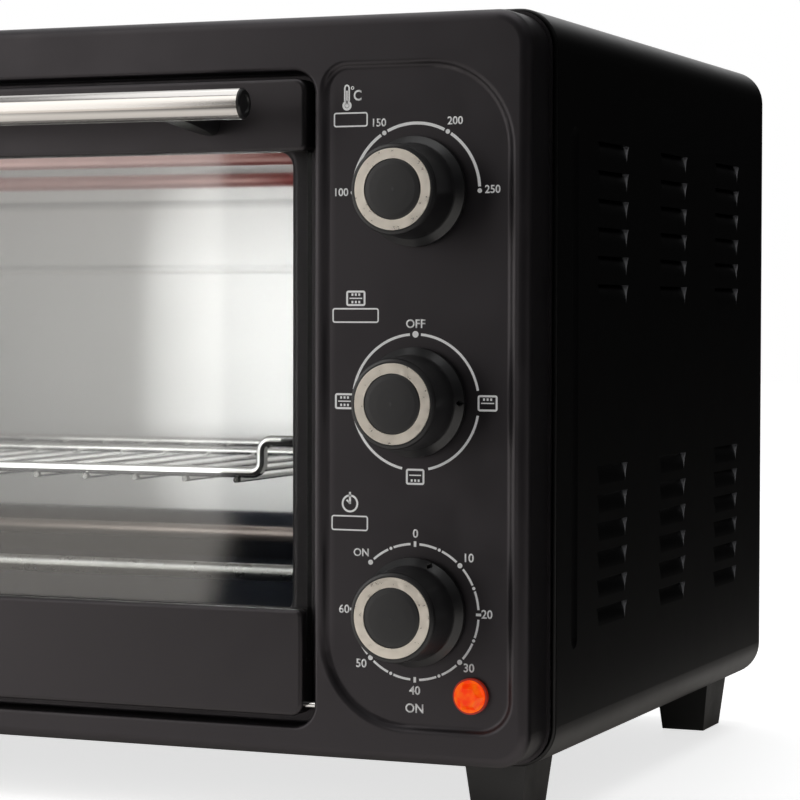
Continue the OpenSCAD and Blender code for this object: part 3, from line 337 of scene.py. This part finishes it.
# ---------------------------------------------------------------- panel print
PRINT_BACK = 0.004 * MM  # distances of the print's two faces from the panel
PRINT_FRONT = 0.05 * MM
DIGITS = 2.95  # height of the digits
BOX_LINE = 0.55  # line of the caption frames
BOX_R = 1.0  # corner radius of the caption frames


def polar(angle, radius):
    """Point at a clockwise angle in degrees from the top."""
    turn = math.radians(angle)
    return radius * math.sin(turn), radius * math.cos(turn)


class Print:
    """Raised screen print on the control panel, drawn in mm about the centre of a knob."""

    def __init__(self, name, knob):
        at = centre(knob)
        self.name, self.x, self.z = name, at.x, at.z
        self.bm = bmesh.new()

    def corner(self, x, z, front):
        y = PANEL_Y - (PRINT_FRONT if front else PRINT_BACK)
        return self.bm.verts.new((self.x + x * MM, y, self.z + z * MM))

    def strip(self, left, right, closed=False):
        """Closed solid band between two lines of points."""
        lf, lb, rf, rb = [[self.corner(*p, front) for p in points]
                          for points in (left, right) for front in (True, False)]
        count = len(left)
        for i in range(count if closed else count - 1):
            j = (i + 1) % count
            for a, b in ((lf, rf), (rf, rb), (rb, lb), (lb, lf)):
                self.bm.faces.new((a[i], a[j], b[j], b[i]))
        if not closed:
            for i in (0, count - 1):
                self.bm.faces.new((lf[i], rf[i], rb[i], lb[i]))

    def arc(self, radius, line, a0, a1, cx=0.0, cz=0.0):
        """Part of a ring, between clockwise angles from the top."""
        steps = max(6, int(abs(a1 - a0) / 3))
        turns = [math.radians(a0 + (a1 - a0) * i / steps) for i in range(steps + 1)]
        full = abs(a1 - a0) >= 360
        edges = [[(cx + q * math.sin(t), cz + q * math.cos(t)) for t in (turns[:-1] if full else turns)]
                 for q in (radius - line / 2, radius + line / 2)]
        self.strip(*edges, closed=full)

    def dot(self, cx, cz, radius):
        """Round dot: a ring whose small middle is filled."""
        self.arc(radius / 2 + 0.02, radius - 0.04, 0, 360, cx, cz)
        self.plate([(cx + 0.05 * math.cos(t * math.pi / 6), cz + 0.05 * math.sin(t * math.pi / 6))
                    for t in range(12)])

    def plate(self, points):
        front = [self.corner(*p, True) for p in points]
        back = [self.corner(*p, False) for p in points]
        self.bm.faces.new(front)
        self.bm.faces.new(back[::-1])
        for i in range(len(points)):
            j = (i + 1) % len(points)
            self.bm.faces.new((front[i], back[i], back[j], front[j]))

    def bar(self, x0, z0, x1, z1, line):
        along = Vector((x1 - x0, z1 - z0)).normalized()
        n = Vector((-along.y, along.x)) * line / 2
        self.plate([(x0 + n.x, z0 + n.y), (x1 + n.x, z1 + n.y), (x1 - n.x, z1 - n.y), (x0 - n.x, z0 - n.y)])

    def frame(self, cx, cz, wide, high, line, radius):
        """Outline of a rounded box."""
        edges = []
        for off in (0.0, line):
            a, b, q = wide / 2 - off, high / 2 - off, max(radius - off, 0.15)
            points = []
            for sx, sz, start in ((1, 1, 0), (-1, 1, 90), (-1, -1, 180), (1, -1, 270)):
                for k in range(6):
                    t = math.radians(start + 18 * k)
                    points.append((cx + sx * (a - q) + q * math.cos(t), cz + sz * (b - q) + q * math.sin(t)))
            edges.append(points)
        self.strip(*edges, closed=True)

    def text(self, words, cx, cz, high=DIGITS, squeeze=1.0):
        """Solid letters of a given height about a middle point."""
        curve = bpy.data.curves.new("letters", "FONT")
        curve.body = words
        curve.size = 1.0
        curve.resolution_u = 4
        curve.offset = 0.02
        obj = bpy.data.objects.new("letters", curve)
        scene.collection.objects.link(obj)
        bpy.context.view_layer.update()
        flat = bpy.data.meshes.new_from_object(obj.evaluated_get(bpy.context.evaluated_depsgraph_get()))
        bpy.data.objects.remove(obj)
        bpy.data.curves.remove(curve)
        xs = [v.co.x for v in flat.vertices]
        ys = [v.co.y for v in flat.vertices]
        k = high / (max(ys) - min(ys))
        mx, my = (max(xs) + min(xs)) / 2, (max(ys) + min(ys)) / 2
        piece = bmesh.new()
        piece.from_mesh(flat)
        bmesh.ops.remove_doubles(piece, verts=piece.verts, dist=1e-5)
        made = bmesh.ops.extrude_face_region(piece, geom=piece.faces[:])
        for v in (g for g in made["geom"] if isinstance(g, bmesh.types.BMVert)):
            v.co.z = 1.0
        for v in piece.verts:
            y = PANEL_Y - (PRINT_FRONT if v.co.z > 0.5 else PRINT_BACK)
            v.co = Vector((self.x + (cx + (v.co.x - mx) * k * squeeze) * MM, y,
                           self.z + (cz + (v.co.y - my) * k) * MM))
        bmesh.ops.recalc_face_normals(piece, faces=piece.faces)
        piece.to_mesh(flat)
        piece.free()
        self.bm.from_mesh(flat)
        bpy.data.meshes.remove(flat)

    def oven_sign(self, cx, cz, upper, lower, wide=7.6, high=5.8):
        """Little oven with its heaters as rows of marks, and its rack as a line."""
        self.frame(cx, cz, wide, high, line=0.75, radius=0.9)
        rise, pitch, half = 1.35, 1.35, 0.38  # of a row above the middle, and of the marks in it
        for on, side in ((upper, 1), (lower, -1)):
            if on:
                z = cz + side * rise
                for x in (cx - pitch, cx, cx + pitch):
                    self.bar(x - half, z, x + half, z, line=0.9)
        rack = cz if upper else cz + 0.55
        end = wide / 2 - 1.3
        self.bar(cx - end, rack, cx + end, rack, line=0.45)

    def thermometer(self, x, z):
        """Thermometer about its bulb, with a degree sign and a C."""
        self.arc(1.35, 0.9, 0, 360, x, z)
        self.dot(x, z, 0.75)
        self.strip([(x - 1.15, z + 1.5), (x - 1.15, z + 6.4), (x - 0.8, z + 7.3), (x, z + 7.7),
                    (x + 0.8, z + 7.3), (x + 1.15, z + 6.4), (x + 1.15, z + 1.5)],
                   [(x - 0.55, z + 1.5), (x - 0.55, z + 6.3), (x - 0.4, z + 6.8), (x, z + 7.05),
                    (x + 0.4, z + 6.8), (x + 0.55, z + 6.3), (x + 0.55, z + 1.5)])
        self.bar(x, z + 0.5, x, z + 5.4, 0.6)
        self.text("C", x + 4.2, z + 3.6, 3.9, 0.9)
        self.arc(0.5, 0.3, 0, 360, x + 2.2, z + 6.3)

    def clock(self, x, z):
        """Clock face with a long upright hand and a short one."""
        self.arc(2.9, 0.75, 0, 360, x, z)
        self.bar(x, z - 0.2, x, z + 4.2, 0.8)
        self.bar(x, z, x - 1.3, z + 1.3, 0.7)

    def finish(self, body="housing"):
        bmesh.ops.recalc_face_normals(self.bm, faces=self.bm.faces)
        mesh = bpy.data.meshes.new(self.name)
        self.bm.to_mesh(mesh)
        self.bm.free()
        mesh.materials.append(M["print"].mat)
        obj = bpy.data.objects.new(self.name, mesh)
        scene.collection.objects.link(obj)
        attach(obj, body)


def temp_dial():
    p = Print("temp_dial_print", "temp_knob")
    radius, line, gap, step = 24.5, 1.1, 3.4, 60
    marks = (-90, -30, 30, 90)
    for angle in marks:
        p.dot(*polar(angle, radius), 0.85)
    for angle in marks[:-1]:
        p.arc(radius, line, angle + gap, angle + step - gap)
    for words, x, z in (("100", -28.9, 0.2), ("150", -14.1, 25.0), ("200", 15.1, 25.1), ("250", 29.4, 0.5)):
        p.text(words, x, z)
    p.thermometer(-26.9, 31.4)
    p.frame(-25.4, 26.3, 13.4, 5.3, BOX_LINE, BOX_R)
    p.finish()


def function_dial():
    p = Print("function_dial_print", "function_knob")
    radius, line = 24.4, 0.95
    for a0, a1 in ((5, 79.5), (100.5, 168), (192, 259.5), (280.5, 355)):
        p.arc(radius, line, a0, a1)
    p.dot(0, radius, 1.2)
    p.text("OFF", 0.1, 28.2, 3.2)
    p.oven_sign(27.7, 0.0, True, False)
    p.oven_sign(0.0, -26.8, False, True, wide=7.2)
    p.oven_sign(-27.7, 0.0, True, True)
    p.oven_sign(-23.3, 37.3, True, True, high=5.6)
    p.frame(-23.4, 31.1, 18.3, 5.4, BOX_LINE, BOX_R)
    p.finish()


def timer_dial():
    p = Print("timer_dial_print", "timer_knob")
    radius, line, first, step, count = 24.5, 0.85, -45, 22.5, 15
    wide_gap, small_gap = 4, 2.6  # of the ring's line before and after a mark, in degrees
    for k in range(count):
        angle = first + k * step
        if k % 4 == 2:
            p.bar(*polar(angle, radius - 1), *polar(angle, radius + 1), 1.0)
        else:
            p.dot(*polar(angle, radius), 0.95 if k % 4 == 0 else 0.6)
        if k < count - 1:
            after, before = (wide_gap, small_gap) if k % 2 == 0 else (small_gap, wide_gap)
            p.arc(radius, line, angle + after, angle + step - before)
    for words, x, z in (("0", 0.2, 28.3), ("10", 20.9, 20.2), ("20", 27.7, 0.3), ("30", 20.9, -19.2),
                        ("40", 0.0, -28.3), ("50", -20.9, -19.5), ("60", -27.7, 0.0)):
        p.text(words, x, z, 3.2)
    p.text("ON", -21.0, 20.8, 2.9)
    p.clock(-25.5, 38.4)
    p.frame(-25.6, 31.3, 14.5, 5.6, BOX_LINE, BOX_R)
    lamp = centre("lamp_lens")
    p.text("ON", (lamp.x - p.x) / MM - 22, (lamp.z - p.z) / MM - 5.6, 3.4)
    p.finish()


temp_dial()
function_dial()
timer_dial()


# ---------------------------------------------------------------- floor
FLOOR_HALF = 6.0
FLOOR_Z = -0.0005
FLOOR_GLOW = 0.72
FAR_GLOW = 1.3  # of the far floor in mirror images, on top of that
WARM = (1, 0.94, 0.87)  # colour of the floor in mirror images


def floor():
    bm = bmesh.new()
    bm.faces.new([bm.verts.new((x * FLOOR_HALF, y * FLOOR_HALF, FLOOR_Z))
                  for x, y in ((-1, -1), (1, -1), (1, 1), (-1, 1))])
    mesh = bpy.data.meshes.new("studio_floor")
    bm.to_mesh(mesh)
    bm.free()
    n = Nodes("studio_floor")
    drift = n.span(n.noise(3, 3), 0, 1)
    n.link(n.mix(drift, (0.80, 0.80, 0.80), (0.83, 0.83, 0.83)), n.bsdf.inputs["Base Color"])
    n.put(Roughness=0.7, Specular_IOR_Level=0.2)

    def both(a, b):
        return n.math("MULTIPLY", a, b, clamp=True)

    def either(a, b):
        return n.math("ADD", a, b, clamp=True)

    def without(a, whole=1.0):
        return n.math("SUBTRACT", whole, a, clamp=True)

    path = n.add("LightPath").outputs
    glossy_ray, through = path["Is Glossy Ray"], path["Is Transmission Ray"]
    x, y, _ = n.split(n.coords)

    # mirrored in the oven, the floor is bright to the left and close in front, and dark elsewhere
    before_oven = n.fall(y, -0.16, -0.10)
    left = both(both(n.fall(x, -0.45, -0.10), before_oven), n.rise(y, -0.80, -0.62))
    front = both(n.rise(y, -0.62, -0.36), before_oven)
    right = both(both(n.span(x, 0.0, 0.4, 0.20, 0.26), n.span(x, 1.0, 0.03, 0.26, 0.31)),
                 n.rise(y, -0.30, -0.20))
    lit = either(either(left, both(front, without(both(through, 0.8), 0.8))), right)
    # the far floor ends at a slanted line, which stands upright in the door's glass
    slant = n.math("MULTIPLY_ADD", y, -0.4613, x)
    far = both(both(n.fall(slant, 0.144, 0.162), n.fall(y, -0.80, -0.62)),
               n.rise(y, -1.52, -1.48))

    # glass shows the white floor behind the oven, and rays that leave its inside see the studio in front
    behind = n.rise(y, -0.20, -0.10)
    mirrored = either(glossy_ray, both(through, without(behind)))
    seen = either(path["Is Camera Ray"], both(through, behind))
    level = both(either(seen, both(mirrored, lit)), FLOOR_GLOW)
    glow = n.add("Emission")
    n.link(n.mix(mirrored, (1, 1, 1), WARM), glow.inputs["Color"])
    n.link(n.math("MULTIPLY_ADD", both(glossy_ray, far), FAR_GLOW, level), glow.inputs["Strength"])
    dark = n.add("BsdfDiffuse")
    dark.inputs["Color"].default_value = (0.01, 0.01, 0.01, 1)
    base = n.add("MixShader")
    n.link(both(mirrored, without(lit)), base.inputs[0])
    n.link(n.bsdf.outputs[0], base.inputs[1])
    n.link(dark.outputs[0], base.inputs[2])
    total = n.add("AddShader")
    n.link(base.outputs[0], total.inputs[0])
    n.link(glow.outputs[0], total.inputs[1])
    n.link(total.outputs[0], n.out.inputs["Surface"])

    mesh.materials.append(n.mat)
    obj = bpy.data.objects.new("studio_floor", mesh)
    scene.collection.objects.link(obj)


floor()


# ---------------------------------------------------------------- light
INSIDE_X = centre("wire_rack").x
BEHIND_GLASS = FRONT_Y + 12 * MM
WALL_Y = 0.13  # the back wall, at which the lights inside aim


def area(name, at, aim, width, height, radiance, color=(1, 1, 1)):
    """Soft box; radiance 1 is white."""
    light = bpy.data.lights.new(name, "AREA")
    light.shape = "RECTANGLE"
    light.size, light.size_y = width, height
    light.energy = radiance * width * height * math.pi
    light.color = color
    obj = bpy.data.objects.new(name, light)
    obj.location = at
    obj.rotation_euler = (Vector(aim) - Vector(at)).to_track_quat("-Z", "Y").to_euler()
    scene.collection.objects.link(obj)
    return light


def lights():
    area("left_box", at=(-1.484, -1.5, 1.1), aim=(-1.484, 0.0, 1.1), width=1.87, height=2.6,
         radiance=1.8, color=(1, 0.975, 0.94))
    area("top_box", at=(0.0, -0.1, 2.0), aim=(0.0, 0.0, 0.0), width=1.8, height=1.8, radiance=1.4)
    x = INSIDE_X + 0.04
    area("cavity_light", at=(x, FRONT_Y + 42 * MM, 0.2525), aim=(x, WALL_Y, 0.16), width=0.20,
         height=0.012, radiance=0.8)
    x = INSIDE_X + 0.070
    wall_light = area("wall_light", at=(x, BEHIND_GLASS, 0.168), aim=(x, WALL_Y, 0.168), width=0.110,
                      height=0.118, radiance=5.0)
    wall_light.spread = math.radians(19)
    x = INSIDE_X + 0.02
    area("cavity_fill", at=(x, BEHIND_GLASS, 0.17), aim=(x, WALL_Y, 0.19), width=0.24, height=0.10,
         radiance=1.25)


def world():
    """White where the camera looks, and a dark studio with bright sides elsewhere."""
    studio = bpy.data.worlds.new("studio")
    scene.world = studio
    w = Tree(studio)

    def smooth(value, a, b):
        return w.rise(value, a, b, interpolation_type="SMOOTHSTEP")

    x, y, z = w.split(w.add("TexCoord").outputs["Generated"])
    # bright behind, above and to the left, dark in front and to the right
    behind = w.product(smooth(y, 0.1, 0.6), w.math("SUBTRACT", 1.0, smooth(x, -0.15, 0.05)))
    above = smooth(z, 0.25, 0.9)
    left = smooth(w.math("MULTIPLY", x, -1.0), 0.45, 0.8)
    level = 0.006
    for side, radiance in ((behind, 0.85), (above, 0.25), (left, 0.6)):
        level = w.math("MULTIPLY_ADD", side, radiance, level)
    path = w.add("LightPath").outputs
    through = w.product(path["Is Transmission Ray"], smooth(y, -0.05, 0.05))
    seen = w.math("ADD", path["Is Camera Ray"], through, clamp=True)
    strength = w.add("Mix", data_type="FLOAT")
    w.link(seen, strength.inputs[0])
    w.link(level, strength.inputs[2])
    strength.inputs[3].default_value = 1.0
    background = w.add("Background")
    background.inputs["Color"].default_value = (1, 1, 1, 1)
    w.link(strength.outputs[0], background.inputs["Strength"])
    w.link(background.outputs[0], w.add("OutputWorld").inputs["Surface"])


lights()
world()


# ---------------------------------------------------------------- camera
CAMERA_AT = Vector((0.566609, -1.050058, 0.185837))
CAMERA_TURN, CAMERA_TILT, CAMERA_ROLL = -0.390, 0.032, 0.002  # radians
CAMERA_LENS, CAMERA_SENSOR = 123.9, 36


def camera():
    flat = math.cos(CAMERA_TILT)
    forward = Vector((math.sin(CAMERA_TURN) * flat, math.cos(CAMERA_TURN) * flat, -math.sin(CAMERA_TILT)))
    level = Vector((math.cos(CAMERA_TURN), -math.sin(CAMERA_TURN), 0))
    above = level.cross(forward)
    right = math.cos(CAMERA_ROLL) * level + math.sin(CAMERA_ROLL) * above
    up = -math.sin(CAMERA_ROLL) * level + math.cos(CAMERA_ROLL) * above
    cam = bpy.data.cameras.new("camera")
    cam.lens = CAMERA_LENS
    cam.sensor_width = CAMERA_SENSOR
    cam.clip_start, cam.clip_end = 0.05, 50
    obj = bpy.data.objects.new("camera", cam)
    turned = Matrix((right, up, -forward)).transposed().to_4x4()
    obj.matrix_world = Matrix.Translation(CAMERA_AT) @ turned
    scene.collection.objects.link(obj)
    scene.camera = obj


camera()
scene.view_settings.view_transform = "Standard"
